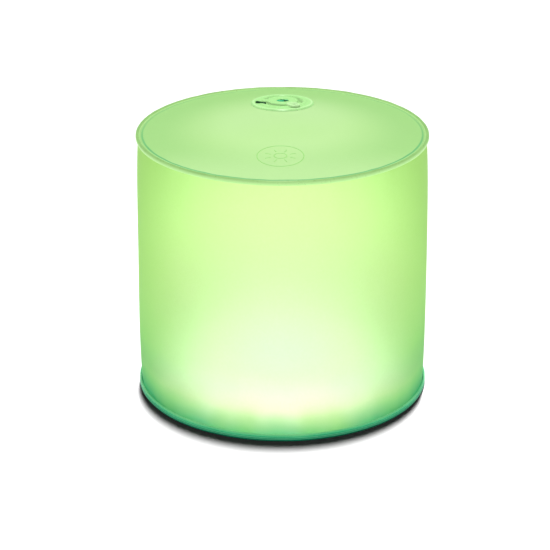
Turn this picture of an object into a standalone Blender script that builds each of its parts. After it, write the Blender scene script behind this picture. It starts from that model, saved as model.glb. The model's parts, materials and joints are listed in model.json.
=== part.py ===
"""An inflatable solar camping lantern, inflated, standing on its base.

A frosted film drum with a valve in its top holds a flat round light module at its base.  The module
has a solar panel and two buttons under it and a ring of LEDs on it.  Metres, +Z up, origin on the
ground at the drum's axis.  The valve stands at +Y and the buttons at -Y.
"""

import math

import bmesh
import bpy
from mathutils import Matrix, Vector

MM = 0.001

# Driving dimensions of the drum.
BASE_RIM_R = 63.5 * MM
TOP_RIM_R = 62.4 * MM
RIM_TOP_Z = 116.0 * MM
CROWN = 3.2 * MM
FILM = 0.4 * MM
GAP = 0.3 * MM
WALL_BULGE = 0.9 * MM

# The top film's edge: a crease, then a welded bead that turns down over the wall.
TOP_CREASE_R = TOP_RIM_R - 1.8 * MM
TOP_CREASE_Z = RIM_TOP_Z - 0.7 * MM
TOP_SKIRT_IN_R = TOP_RIM_R - 0.6 * MM
TOP_SKIRT_Z = RIM_TOP_Z - 2.2 * MM
WALL_TOP_R = TOP_SKIRT_IN_R - 0.4 * MM
WALL_TOP_Z = RIM_TOP_Z - 1.7 * MM

# The base film: a clear window, and a welded rim that stands on the ground.
WINDOW_Z = 0.6 * MM
BASE_SKIRT_IN_R = BASE_RIM_R - 0.9 * MM
BASE_SKIRT_Z = 3.4 * MM
WALL_BASE_R = BASE_SKIRT_IN_R - 0.4 * MM
WALL_BASE_Z = 1.6 * MM

# Light module, as heights above the ground.
MODULE_R = 46.0 * MM
MODULE_WALL = 1.6 * MM
TRAY_Z = 1.3 * MM
PANEL_RECESS_Z = 3.3 * MM
FLOOR_Z = 4.3 * MM
RIB_IN_R = 33.5 * MM
RIB_OUT_R = 34.5 * MM
RIB_Z = 9.6 * MM
TRAY_TOP_Z = 11.0 * MM
BOARD_Z = 9.8 * MM
BOARD_THICK = 1.0 * MM
BOARD_R = 43.0 * MM
LED_Z = 10.9 * MM
LID_UNDER_Z = 12.0 * MM
LID_TOP_Z = 13.4 * MM
REFLECTOR_Z = 13.6 * MM
REFLECTOR_R = 44.0 * MM
MODULE_FILM_Z = 14.0 * MM

LED_COUNT = 10
LED_RING_R = 32.0 * MM
LED_SIDE = 5.0 * MM
LED_THICK = 1.4 * MM
LED_HOLE_UNDER_R = 4.0 * MM
LED_HOLE_TOP_R = 5.6 * MM

# Solar panel, under the tray.
PANEL_SIDE = 60.0 * MM
PANEL_COVER_Z = 1.5 * MM
PANEL_COVER_THICK = 0.3 * MM
CELL_Z = 1.95 * MM
CELL_THICK = 0.2 * MM
SUBSTRATE_Z = 2.3 * MM
SUBSTRATE_THICK = 0.8 * MM
CELL_COUNT = 10
CELL_LENGTH = 56.0 * MM
CELL_PITCH = 5.7 * MM
CELL_WIDTH = 5.2 * MM

# Battery, offset to leave room for its connector.
BATTERY_SIZE = Vector((50.0, 34.0, 4.5)) * MM
BATTERY_AT = Vector((-2.5, 0.0, 7.15)) * MM
PAD_SIZE = Vector((44.0, 28.0, 0.4)) * MM
CONNECTOR_SIZE = Vector((4.6, 8.0, 3.6)) * MM
CONNECTOR_AT = Vector((30.3, 0.0, 7.8)) * MM
LEAD_R = 0.55 * MM
LEAD_OFFSETS = {"positive": 1.3 * MM, "negative": -1.3 * MM}
SOLAR_LEAD_X = 6.0 * MM
SOLAR_LEAD_Y = 28.5 * MM

# Buttons and indicator lenses, in the strip between the panel and the module's front edge.
CONTROLS_Y = -37.9 * MM
BUTTON_X = 11.0 * MM
BUTTON_R = 3.6 * MM
BUTTON_HOLE_R = 3.9 * MM
BUTTON_FLANGE_R = 4.4 * MM
BUTTON_Z = 1.45 * MM
SWITCH_SIDE = 6.0 * MM
SWITCH_Z = 6.4 * MM
LENS_PITCH = 4.0 * MM
LENS_R = 0.9 * MM
LENS_HOLE_R = 1.15 * MM

# Screws, up through the tray into the lid's posts.
SCREW_X = 39.4 * MM
SCREW_Y = 10.0 * MM
POST_R = 2.4 * MM
SCREW_HEAD_R = 2.0 * MM
SCREW_SHANK_R = 0.7 * MM

# Valve, on the crowned top film and square to it.  Its own heights start at the film's face.
VALVE_Y = 33.0 * MM
VALVE_SLOPE = math.atan(2 * CROWN * VALVE_Y / TOP_CREASE_R**2)
VALVE_HOLE_R = 9.6 * MM
FLANGE_R = 14.0 * MM
BORE_R = 4.0 * MM
STEM_R = 6.0 * MM
STEM_FOOT = -6.6 * MM
PLUG_PIVOT = Vector((-8.2, 0.0, 1.2)) * MM
FLAP_PIVOT = Vector((-5.3, 0.0, -7.1)) * MM
TAB_TURN = math.radians(-64)
TAB_REACH = 8.6 * MM

# Facets around a full turn.
DRUM_STEPS = 60
VALVE_STEPS = 32
HOLE_STEPS = 24
SMALL_STEPS = 16

SOURCE = bpy.context.scene.collection


def crown_height(radius):
    """Height of the top film's outer face at a distance from the axis."""
    return TOP_CREASE_Z + CROWN * (1 - (radius / TOP_CREASE_R) ** 2)


def clear_scene():
    for old in list(bpy.data.objects):
        bpy.data.objects.remove(old)
    for name in ("camping_lantern", "cutters"):
        SOURCE.children.link(bpy.data.collections.new(name))


def material(name, colour, roughness, metallic=0.0, alpha=1.0):
    made = bpy.data.materials.new(name)
    made.use_nodes = True
    shader = made.node_tree.nodes["Principled BSDF"]
    shader.inputs["Base Color"].default_value = (*colour, 1.0)
    shader.inputs["Roughness"].default_value = roughness
    shader.inputs["Metallic"].default_value = metallic
    shader.inputs["Alpha"].default_value = alpha
    return made


def place(obj, surface=None, parent=None, collection="camping_lantern"):
    """Links an object to its collection, gives it its material and hangs it on its parent."""
    bpy.data.collections[collection].objects.link(obj)
    if surface is not None:
        obj.data.materials.append(surface)
    obj.parent = parent
    return obj


def helper(obj):
    obj.hide_render = True
    obj.display_type = "WIRE"
    return obj


def frame(name, location, parent=None, rotation=(0, 0, 0)):
    """An empty that parts hang on."""
    empty = bpy.data.objects.new(name, None)
    empty.location = location
    empty.rotation_euler = rotation
    return place(empty, parent=parent)


def turned_mesh(name, profile, steps):
    """An object with a (radius, height) profile turned about its Z axis.

    A profile that starts and ends on the axis makes a disc, and any other is closed into a ring.
    """
    area = sum(
        a[0] * b[1] - b[0] * a[1] for a, b in zip(profile, profile[1:] + profile[:1])
    )
    points = profile if area < 0 else profile[::-1]
    count = len(points)
    on_axis = points[0][0] == 0 and points[-1][0] == 0
    edges = [(i, i + 1) for i in range(count - 1)]
    if not on_axis:
        edges.append((count - 1, 0))
    mesh = bpy.data.meshes.new(name)
    mesh.from_pydata([(r, 0, z) for r, z in points], edges, [])
    obj = bpy.data.objects.new(name, mesh)
    screw = obj.modifiers.new("turn", "SCREW")
    screw.steps = steps
    screw.render_steps = steps
    screw.use_merge_vertices = True
    screw.merge_threshold = 0.00001
    screw.use_smooth_shade = True
    return obj


def turned(name, profile, surface, steps=DRUM_STEPS, parent=None):
    return place(turned_mesh(name, profile, steps), surface, parent)


def block_mesh(name, size, rounding=0.0):
    """A box about its own centre, with its edges rounded."""
    mesh = bpy.data.meshes.new(name)
    shape = bmesh.new()
    bmesh.ops.create_cube(shape, size=1.0, matrix=Matrix.Diagonal((*size, 1.0)))
    shape.to_mesh(mesh)
    shape.free()
    obj = bpy.data.objects.new(name, mesh)
    if rounding:
        bevel = obj.modifiers.new("edges", "BEVEL")
        bevel.width = rounding
        bevel.segments = 2
    return obj


def block(name, size, centre, surface, rounding=0.0, parent=None):
    obj = place(block_mesh(name, size, rounding), surface, parent)
    obj.location = centre
    return obj


def cone_mesh(name, low_r, high_r, low_z, high_z, steps):
    """A straight-sided round solid standing on its own axis."""
    mesh = bpy.data.meshes.new(name)
    shape = bmesh.new()
    bmesh.ops.create_cone(
        shape,
        cap_ends=True,
        segments=steps,
        radius1=low_r,
        radius2=high_r,
        depth=high_z - low_z,
        matrix=Matrix.Translation((0, 0, (low_z + high_z) / 2)),
    )
    shape.to_mesh(mesh)
    shape.free()
    return bpy.data.objects.new(name, mesh)


def boolean(target, tool, operation):
    change = target.modifiers.new(tool.name, "BOOLEAN")
    change.operation = operation
    change.solver = "EXACT"
    change.object = tool


def tool_cone(name, at, low_r, high_r, low_z, high_z, steps=HOLE_STEPS, parent=None):
    """A hidden round solid, at (x, y), for cutting or joining."""
    tool = helper(cone_mesh(name, low_r, high_r, low_z, high_z, steps))
    tool.location = (at[0], at[1], 0)
    return place(tool, parent=parent, collection="cutters")


def tool_block(name, size, centre, parent=None, turn=0.0):
    tool = helper(block_mesh(name, size))
    tool.location = centre
    tool.rotation_euler = (0, 0, turn)
    return place(tool, parent=parent, collection="cutters")


def drill(target, name, at, radius, low_z, high_z, steps=HOLE_STEPS):
    hole = tool_cone(name, at, radius, radius, low_z, high_z, steps)
    boolean(target, hole, "DIFFERENCE")


def wire(name, points, radius, surface):
    """A short insulated lead along a smooth curve through its points."""
    curve = bpy.data.curves.new(name, "CURVE")
    curve.dimensions = "3D"
    curve.bevel_depth = radius
    curve.bevel_resolution = 2
    curve.use_fill_caps = True
    spline = curve.splines.new("POLY")
    route = smooth_route([Vector(p) for p in points], spans=5)
    spline.points.add(len(route) - 1)
    for point, place_at in zip(spline.points, route):
        point.co = (*place_at, 1.0)
    return place(bpy.data.objects.new(name, curve), surface)


def smooth_route(points, spans):
    """Points along a Catmull-Rom curve, with a number of spans between each two given points."""
    ends = [2 * points[0] - points[1], *points, 2 * points[-1] - points[-2]]
    route = []
    for a, b, c, d in zip(ends, ends[1:], ends[2:], ends[3:]):
        for i in range(spans):
            t = i / spans
            route.append(
                0.5 * (2 * b + (c - a) * t + (2 * a - 5 * b + 4 * c - d) * t**2
                       + (3 * b - a - 3 * c + d) * t**3)
            )
    return [*route, points[-1]]


def led_places():
    """(x, y, angle) of each LED on its ring."""
    for i in range(LED_COUNT):
        angle = math.tau * (i + 0.5) / LED_COUNT - math.pi / 2
        yield LED_RING_R * math.cos(angle), LED_RING_R * math.sin(angle), angle


def screw_places():
    return [(x, y) for x in (SCREW_X, -SCREW_X) for y in (SCREW_Y, -SCREW_Y)]


def make_materials():
    return {
        "frosted_film": material("frosted_film", (0.52, 0.90, 0.38), 0.45, alpha=0.85),
        "clear_film": material("clear_film", (0.45, 0.85, 0.50), 0.15, alpha=0.5),
        "valve_vinyl": material("valve_vinyl", (0.42, 0.86, 0.45), 0.18, alpha=0.7),
        "white_plastic": material("white_plastic", (0.90, 0.92, 0.90), 0.45),
        "mirror_foil": material("mirror_foil", (0.86, 0.88, 0.88), 0.15, metallic=1.0),
        "board": material("board", (0.05, 0.28, 0.12), 0.40),
        "led": material("led", (0.95, 0.95, 0.80), 0.30),
        "battery_foil": material("battery_foil", (0.72, 0.73, 0.75), 0.35, metallic=1.0),
        "foam": material("foam", (0.15, 0.15, 0.15), 0.95),
        "solar_cell": material("solar_cell", (0.03, 0.04, 0.10), 0.20),
        "panel_board": material("panel_board", (0.10, 0.11, 0.12), 0.50),
        "panel_cover": material("panel_cover", (0.80, 0.85, 0.90), 0.05, alpha=0.3),
        "button_rubber": material("button_rubber", (0.55, 0.58, 0.58), 0.60),
        "black_plastic": material("black_plastic", (0.03, 0.03, 0.03), 0.45),
        "lens": material("lens", (0.85, 0.90, 0.88), 0.08, alpha=0.5),
        "steel": material("steel", (0.62, 0.62, 0.64), 0.30, metallic=1.0),
        "red_wire": material("red_wire", (0.60, 0.04, 0.03), 0.40),
        "black_wire": material("black_wire", (0.03, 0.03, 0.03), 0.40),
    }


def side_wall(surfaces):
    """The frosted tube, a little barrel shaped from the air inside."""
    rings = 7

    def outer(i):
        up = i / (rings - 1)
        radius = WALL_BASE_R + (WALL_TOP_R - WALL_BASE_R) * up
        height = WALL_BASE_Z + (WALL_TOP_Z - WALL_BASE_Z) * up
        return radius + WALL_BULGE * (1 - abs(2 * up - 1) ** 4), height

    outside = [outer(i) for i in range(rings)]
    inside = [(r - FILM, z) for r, z in reversed(outside)]
    turned("side_wall", outside + inside, surfaces["frosted_film"])


def top_film(surfaces):
    """The crowned top disc, its welded edge, and the hole for the valve."""
    crown_radii = [TOP_CREASE_R * i / 4 for i in range(5)]
    bead = [
        (TOP_RIM_R - 1.3 * MM, RIM_TOP_Z - 0.2 * MM),
        (TOP_RIM_R - 0.8 * MM, RIM_TOP_Z),
        (TOP_RIM_R - 0.2 * MM, RIM_TOP_Z - 0.3 * MM),
        (TOP_RIM_R, RIM_TOP_Z - 0.9 * MM),
        (TOP_RIM_R - 0.1 * MM, RIM_TOP_Z - 1.8 * MM),
        (TOP_SKIRT_IN_R + 0.1 * MM, TOP_SKIRT_Z),
    ]
    under = [
        (TOP_SKIRT_IN_R, WALL_TOP_Z + GAP),
        (TOP_CREASE_R, TOP_CREASE_Z - FILM),
        *((r, crown_height(r) - FILM) for r in reversed(crown_radii[:-1])),
    ]
    profile = [(r, crown_height(r)) for r in crown_radii] + bead + under
    film = turned("top_film", profile, surfaces["frosted_film"])
    hole = tool_cone(
        "valve_hole", (0, 0), VALVE_HOLE_R, VALVE_HOLE_R, -4 * MM, 4 * MM,
        VALVE_STEPS, parent=bpy.data.objects["valve_frame"],
    )
    boolean(film, hole, "DIFFERENCE")


def base_film(surfaces):
    """The clear window over the solar panel, and the welded rim that the lantern stands on."""
    turned(
        "base_film",
        [
            (0, WINDOW_Z + FILM),
            (BASE_SKIRT_IN_R, WINDOW_Z + FILM),
            (BASE_SKIRT_IN_R, BASE_SKIRT_Z),
            (BASE_RIM_R - 0.5 * MM, BASE_SKIRT_Z),
            (BASE_RIM_R, BASE_SKIRT_Z - 0.7 * MM),
            (BASE_RIM_R, 0.8 * MM),
            (BASE_RIM_R - 0.8 * MM, 0),
            (BASE_RIM_R - 2.6 * MM, 0),
            (BASE_RIM_R - 3.2 * MM, WINDOW_Z),
            (0, WINDOW_Z),
        ],
        surfaces["clear_film"],
    )


def module_film(surfaces):
    """The clear inner film that seals the light module off from the air chamber."""
    outside = [
        (0, MODULE_FILM_Z + GAP),
        (MODULE_R - 0.6 * MM, MODULE_FILM_Z + GAP),
        (MODULE_R + 1.0 * MM, MODULE_FILM_Z - 0.6 * MM),
        (60.0 * MM, 1.6 * MM),
        (61.3 * MM, 1.6 * MM),
    ]
    inside = [(r, z - GAP) for r, z in reversed(outside)]
    turned("module_film", outside + inside, surfaces["clear_film"])


def module_tray(surfaces):
    """The lower housing: panel recess below, board rib and outer wall above."""
    inner_r = MODULE_R - MODULE_WALL
    tray = turned(
        "module_tray",
        [
            (0, FLOOR_Z),
            (RIB_IN_R, FLOOR_Z),
            (RIB_IN_R, RIB_Z),
            (RIB_OUT_R, RIB_Z),
            (RIB_OUT_R, FLOOR_Z),
            (inner_r, FLOOR_Z),
            (inner_r, TRAY_TOP_Z),
            (MODULE_R, TRAY_TOP_Z),
            (MODULE_R, TRAY_Z + 0.8 * MM),
            (MODULE_R - 0.8 * MM, TRAY_Z),
            (0, TRAY_Z),
        ],
        surfaces["white_plastic"],
    )
    recess_side = PANEL_SIDE + 2 * GAP
    recess = tool_block(
        "panel_recess", (recess_side, recess_side, 2 * PANEL_RECESS_Z), (0, 0, 0)
    )
    boolean(tray, recess, "DIFFERENCE")
    for name, x in (("power", -BUTTON_X), ("level", BUTTON_X)):
        drill(tray, f"{name}_button_hole", (x, CONTROLS_Y), BUTTON_HOLE_R, 0, 2 * FLOOR_Z)
    for i in range(3):
        at = ((i - 1) * LENS_PITCH, CONTROLS_Y)
        drill(tray, f"lens_hole_{i + 1}", at, LENS_HOLE_R, 0, 2 * FLOOR_Z, SMALL_STEPS)
    for i, at in enumerate(screw_places()):
        drill(tray, f"screw_hole_{i + 1}", at, 1.2 * MM, 0, 2 * FLOOR_Z, SMALL_STEPS)
        drill(tray, f"head_well_{i + 1}", at, 2.4 * MM, 0, 2.9 * MM, SMALL_STEPS)
    for side in (-1, 1):
        at = (side * SOLAR_LEAD_X, SOLAR_LEAD_Y)
        drill(tray, f"lead_hole_{side}", at, 1.2 * MM, 0, 2 * FLOOR_Z, SMALL_STEPS)


def module_lid(surfaces):
    """The upper housing, with a flared hole over each LED and four screw posts under it."""
    lid = turned(
        "module_lid",
        [
            (0, LID_TOP_Z),
            (MODULE_R - 0.8 * MM, LID_TOP_Z),
            (MODULE_R, LID_TOP_Z - 0.7 * MM),
            (MODULE_R, TRAY_TOP_Z + GAP),
            (MODULE_R - MODULE_WALL - GAP, TRAY_TOP_Z + GAP),
            (MODULE_R - MODULE_WALL - GAP, TRAY_TOP_Z - 0.7 * MM),
            (BOARD_R + GAP, TRAY_TOP_Z - 0.7 * MM),
            (BOARD_R + GAP, LID_UNDER_Z),
            (0, LID_UNDER_Z),
        ],
        surfaces["white_plastic"],
    )
    flare = (LED_HOLE_TOP_R - LED_HOLE_UNDER_R) / (LID_TOP_Z - LID_UNDER_Z)
    past = 0.5 * MM
    for i, (x, y, _) in enumerate(led_places()):
        hole = tool_cone(
            f"led_hole_{i + 1}", (x, y),
            LED_HOLE_UNDER_R - flare * past, LED_HOLE_TOP_R + flare * past,
            LID_UNDER_Z - past, LID_TOP_Z + past,
        )
        boolean(lid, hole, "DIFFERENCE")
    post_foot = FLOOR_Z + GAP
    for i, at in enumerate(screw_places()):
        post = tool_cone(
            f"post_{i + 1}", at, POST_R, POST_R, post_foot, LID_UNDER_Z + 0.7 * MM, SMALL_STEPS
        )
        boolean(lid, post, "UNION")
        drill(lid, f"pilot_{i + 1}", at, 1.0 * MM, 0, 10.0 * MM, SMALL_STEPS)


def reflector_sheet(surfaces):
    """Bright foil on the lid, punched round each LED."""
    sheet = turned(
        "reflector_sheet",
        [(0, REFLECTOR_Z + 0.2 * MM), (REFLECTOR_R, REFLECTOR_Z + 0.2 * MM),
         (REFLECTOR_R, REFLECTOR_Z), (0, REFLECTOR_Z)],
        surfaces["mirror_foil"],
    )
    radius = LED_HOLE_TOP_R + 0.3 * MM
    for i, (x, y, _) in enumerate(led_places()):
        drill(sheet, f"foil_hole_{i + 1}", (x, y), radius, LID_TOP_Z, 15 * MM)


def circuit_board(surfaces):
    """The round board, notched for the lid's posts, with its driver chip."""
    board = turned(
        "circuit_board",
        [(0, BOARD_Z + BOARD_THICK), (BOARD_R, BOARD_Z + BOARD_THICK), (BOARD_R, BOARD_Z),
         (0, BOARD_Z)],
        surfaces["board"],
    )
    for i, at in enumerate(screw_places()):
        drill(board, f"notch_{i + 1}", at, POST_R + 0.5 * MM, BOARD_Z - MM, LID_UNDER_Z)
    block(
        "controller_chip", (6 * MM, 5 * MM, 0.9 * MM), (-9 * MM, 12 * MM, LED_Z + 0.45 * MM),
        surfaces["black_plastic"],
    )


def leds(surfaces):
    shared = None
    for i, (x, y, angle) in enumerate(led_places()):
        led = block_mesh(f"led_{i + 1:02d}", (LED_SIDE, LED_SIDE, LED_THICK))
        if shared is None:
            shared = led.data
            shared.materials.append(surfaces["led"])
        led.data = shared
        place(led)
        led.location = (x, y, LED_Z + LED_THICK / 2)
        led.rotation_euler = (0, 0, angle)


def solar_panel(surfaces):
    """The panel's board, its cell strips and its clear cover."""
    block(
        "solar_substrate", (PANEL_SIDE, PANEL_SIDE, SUBSTRATE_THICK),
        (0, 0, SUBSTRATE_Z + SUBSTRATE_THICK / 2), surfaces["panel_board"],
    )
    block(
        "solar_cover", (PANEL_SIDE, PANEL_SIDE, PANEL_COVER_THICK),
        (0, 0, PANEL_COVER_Z + PANEL_COVER_THICK / 2), surfaces["panel_cover"],
    )
    for i in range(CELL_COUNT):
        block(
            f"solar_cell_{i + 1:02d}", (CELL_LENGTH, CELL_WIDTH, CELL_THICK),
            (0, (i - (CELL_COUNT - 1) / 2) * CELL_PITCH, CELL_Z + CELL_THICK / 2),
            surfaces["solar_cell"],
        )


def battery(surfaces):
    """The flat pouch cell on its foam pad, and its plug-in connector."""
    block("battery", BATTERY_SIZE, BATTERY_AT, surfaces["battery_foil"], rounding=1.2 * MM)
    pad_z = (FLOOR_Z + BATTERY_AT.z - BATTERY_SIZE.z / 2) / 2
    block("battery_pad", PAD_SIZE, (BATTERY_AT.x, 0, pad_z), surfaces["foam"])
    block("battery_connector", CONNECTOR_SIZE, CONNECTOR_AT, surfaces["white_plastic"])


def leads(surfaces):
    """Battery leads to the connector, and the panel's leads up through the tray to the board."""
    cell_end = BATTERY_AT.x + BATTERY_SIZE.x / 2 + GAP
    plug_face = CONNECTOR_AT.x - CONNECTOR_SIZE.x / 2 - GAP
    middle = (cell_end + plug_face) / 2
    for name, offset in LEAD_OFFSETS.items():
        height = BATTERY_AT.z + 0.6 * MM
        points = [
            (cell_end, 3 * offset, height),
            (cell_end + 0.9 * MM, 3 * offset, height),
            (middle, 2 * offset, height - 0.4 * MM),
            (plug_face - 0.9 * MM, offset, height),
            (plug_face, offset, height),
        ]
        colour = "red_wire" if name == "positive" else "black_wire"
        wire(f"battery_lead_{name}", points, LEAD_R, surfaces[colour])
        side = math.copysign(1, offset)
        x, y = side * SOLAR_LEAD_X, SOLAR_LEAD_Y
        foot = SUBSTRATE_Z + SUBSTRATE_THICK + 0.1 * MM
        points = [
            (x, y, foot),
            (x, y, FLOOR_Z + 0.4 * MM),
            (x + side * 1.2 * MM, y - 0.6 * MM, (FLOOR_Z + BOARD_Z) / 2),
            (x, y, BOARD_Z - 1.2 * MM),
            (x, y, BOARD_Z - 0.2 * MM),
        ]
        wire(f"solar_lead_{name}", points, LEAD_R, surfaces[colour])


def controls(surfaces):
    """Two push buttons, the switch and plunger over each, and the battery level lenses."""
    for name, x in (("power", -BUTTON_X), ("level", BUTTON_X)):
        seat = frame(f"{name}_button_frame", (x, CONTROLS_Y, 0))
        flange_z = FLOOR_Z + 0.2 * MM
        turned(
            f"{name}_button",
            [
                (0, 6.0 * MM),
                (1.4 * MM, 6.0 * MM),
                (1.4 * MM, flange_z + 0.6 * MM),
                (BUTTON_FLANGE_R, flange_z + 0.6 * MM),
                (BUTTON_FLANGE_R, flange_z),
                (BUTTON_R, flange_z),
                (BUTTON_R, BUTTON_Z + 0.4 * MM),
                (BUTTON_R - 0.4 * MM, BUTTON_Z),
                (0, BUTTON_Z),
            ],
            surfaces["button_rubber"], HOLE_STEPS, seat,
        )
        turned(
            f"{name}_plunger",
            [(0, 7.0 * MM), (1.6 * MM, 7.0 * MM), (1.6 * MM, 6.1 * MM), (0, 6.1 * MM)],
            surfaces["black_plastic"], SMALL_STEPS, seat,
        )
        thick = BOARD_Z - 0.2 * MM - SWITCH_Z
        switch = block(
            f"{name}_switch", (SWITCH_SIDE, SWITCH_SIDE, thick),
            (x, CONTROLS_Y, SWITCH_Z + thick / 2), surfaces["steel"],
        )
        drill(switch, f"{name}_bore", (x, CONTROLS_Y), 1.9 * MM, 5 * MM, 7.9 * MM, SMALL_STEPS)
    for i in range(3):
        lens = turned(
            f"level_lens_{i + 1}",
            [(0, 9.3 * MM), (LENS_R, 9.3 * MM), (LENS_R, BUTTON_Z), (0, BUTTON_Z)],
            surfaces["lens"], SMALL_STEPS,
        )
        lens.location = ((i - 1) * LENS_PITCH, CONTROLS_Y, 0)


def screws(surfaces):
    """Four small cross-head screws, heads down."""
    head_z = 1.5 * MM
    shank_z = head_z + 1.2 * MM
    for i, at in enumerate(screw_places()):
        seat = frame(f"screw_frame_{i + 1}", (*at, 0))
        screw = turned(
            f"module_screw_{i + 1}",
            [
                (0, 9.0 * MM),
                (SCREW_SHANK_R, 8.4 * MM),
                (SCREW_SHANK_R, shank_z),
                (SCREW_HEAD_R, shank_z),
                (SCREW_HEAD_R, head_z + 0.4 * MM),
                (SCREW_HEAD_R - 0.5 * MM, head_z),
                (0, head_z),
            ],
            surfaces["steel"], SMALL_STEPS, seat,
        )
        for turn in (0.0, math.pi / 2):
            slot = tool_block(
                f"cross_{i + 1}_{int(math.degrees(turn))}", (2.2 * MM, 0.5 * MM, 1.2 * MM),
                (0, 0, head_z), seat, turn,
            )
            boolean(screw, slot, "DIFFERENCE")


def valve(surfaces):
    """The flange, the folded membrane that lets the stem sink, and the stem with its tether lug."""
    vinyl = surfaces["valve_vinyl"]
    seat = bpy.data.objects["valve_frame"]
    turned(
        "valve_flange",
        [
            (8.9 * MM, 0.7 * MM),
            (9.4 * MM, 1.1 * MM),
            (10.4 * MM, 1.1 * MM),
            (11.2 * MM, 0.75 * MM),
            (FLANGE_R - 0.4 * MM, 0.7 * MM),
            (FLANGE_R, 0.35 * MM),
            (9.3 * MM, 0.35 * MM),
            (9.3 * MM, -1.2 * MM),
            (8.9 * MM, -1.2 * MM),
        ],
        vinyl, VALVE_STEPS, seat,
    )
    turned(
        "valve_diaphragm",
        [
            (8.6 * MM, -0.8 * MM),
            (8.6 * MM, -1.2 * MM),
            (STEM_R + GAP, -6.2 * MM),
            (STEM_R + GAP, -5.6 * MM),
        ],
        vinyl, VALVE_STEPS, seat,
    )
    stem = turned(
        "valve_stem",
        [
            (6.8 * MM, 0.6 * MM),
            (6.8 * MM, 0.0),
            (STEM_R, -0.4 * MM),
            (STEM_R, STEM_FOOT),
            (BORE_R, STEM_FOOT),
            (BORE_R, 0.6 * MM),
        ],
        vinyl, VALVE_STEPS, seat,
    )
    lug = tool_block("tether_lug", (2.4 * MM, 4.4 * MM, 0.5 * MM), (-7.3 * MM, 0, 0.32 * MM), seat)
    boolean(stem, lug, "UNION")


def valve_plug(surfaces):
    """The hollow stopper, with its finger tab at the front right and its tether to the pivot at -X."""
    seat = frame("plug_pivot", PLUG_PIVOT, bpy.data.objects["valve_frame"])
    plug = turned(
        "valve_plug",
        [
            (0, -0.6 * MM),
            (2.3 * MM, -0.6 * MM),
            (2.6 * MM, 1.3 * MM),
            (2.9 * MM, 1.5 * MM),
            (6.3 * MM, 1.5 * MM),
            (6.8 * MM, 1.3 * MM),
            (6.8 * MM, 1.1 * MM),
            (6.5 * MM, 0.9 * MM),
            (3.8 * MM, 0.9 * MM),
            (3.7 * MM, 0.2 * MM),
            (3.2 * MM, -2.2 * MM),
            (0, -2.2 * MM),
        ],
        surfaces["valve_vinyl"], VALVE_STEPS, seat,
    )
    plug.location = -PLUG_PIVOT
    tether = tool_block("tether", (2.6 * MM, 3.4 * MM, 0.56 * MM), (1.1 * MM, 0, 0), seat)
    boolean(plug, tether, "UNION")
    out = (math.cos(TAB_TURN), math.sin(TAB_TURN))
    tab = tool_block(
        "finger_tab", (6.0 * MM, 5.0 * MM, 0.5 * MM),
        (TAB_REACH * out[0] - PLUG_PIVOT.x, TAB_REACH * out[1], 0.37 * MM), seat, TAB_TURN,
    )
    boolean(plug, tab, "UNION")


def valve_flap(surfaces):
    """The check flap that hangs under the stem's bore."""
    seat = frame("flap_pivot", FLAP_PIVOT, bpy.data.objects["valve_frame"])
    top = 0.2 * MM
    flap = turned(
        "valve_flap",
        [(0, top), (4.9 * MM, top), (4.9 * MM, -top), (0, -top)],
        surfaces["valve_vinyl"], VALVE_STEPS, seat,
    )
    flap.location = (-FLAP_PIVOT.x, 0, 0)
    root = tool_block("flap_root", (1.4 * MM, 3.0 * MM, 0.3 * MM), (0.4 * MM, 0, 0), seat)
    boolean(flap, root, "UNION")


def main():
    clear_scene()
    surfaces = make_materials()
    frame("valve_frame", (0, VALVE_Y, crown_height(VALVE_Y)), rotation=(-VALVE_SLOPE, 0, 0))
    side_wall(surfaces)
    top_film(surfaces)
    base_film(surfaces)
    module_film(surfaces)
    module_tray(surfaces)
    module_lid(surfaces)
    reflector_sheet(surfaces)
    circuit_board(surfaces)
    leds(surfaces)
    solar_panel(surfaces)
    battery(surfaces)
    leads(surfaces)
    controls(surfaces)
    screws(surfaces)
    valve(surfaces)
    valve_plug(surfaces)
    valve_flap(surfaces)


main()
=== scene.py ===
import json
import math

import bmesh
import bpy
from mathutils import Matrix, Vector

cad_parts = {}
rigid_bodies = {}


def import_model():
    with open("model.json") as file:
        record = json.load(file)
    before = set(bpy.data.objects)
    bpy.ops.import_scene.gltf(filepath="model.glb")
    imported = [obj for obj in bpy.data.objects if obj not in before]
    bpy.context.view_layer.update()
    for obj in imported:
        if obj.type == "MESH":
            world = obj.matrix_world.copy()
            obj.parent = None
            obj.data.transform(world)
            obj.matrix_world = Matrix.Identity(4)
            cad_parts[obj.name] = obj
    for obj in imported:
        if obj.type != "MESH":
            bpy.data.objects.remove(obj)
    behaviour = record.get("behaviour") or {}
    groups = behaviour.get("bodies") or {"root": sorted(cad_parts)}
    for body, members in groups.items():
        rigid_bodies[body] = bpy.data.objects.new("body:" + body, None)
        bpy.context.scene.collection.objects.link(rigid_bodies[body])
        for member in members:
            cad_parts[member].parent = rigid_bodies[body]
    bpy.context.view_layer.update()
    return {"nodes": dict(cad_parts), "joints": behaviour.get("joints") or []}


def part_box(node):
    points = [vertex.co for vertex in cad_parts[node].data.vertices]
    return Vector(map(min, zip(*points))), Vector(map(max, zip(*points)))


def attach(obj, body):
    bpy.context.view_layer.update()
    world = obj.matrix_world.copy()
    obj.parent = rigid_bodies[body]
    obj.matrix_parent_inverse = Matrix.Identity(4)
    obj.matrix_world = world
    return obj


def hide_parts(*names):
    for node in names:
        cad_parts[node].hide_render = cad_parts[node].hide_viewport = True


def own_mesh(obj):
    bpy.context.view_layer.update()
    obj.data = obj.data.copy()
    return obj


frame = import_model()

MM = 0.001
JOINTS = {joint["name"]: joint for joint in frame["joints"]}
VALVE_AXIS = Vector(JOINTS["valve_extend"]["axis"]).normalized()

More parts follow.
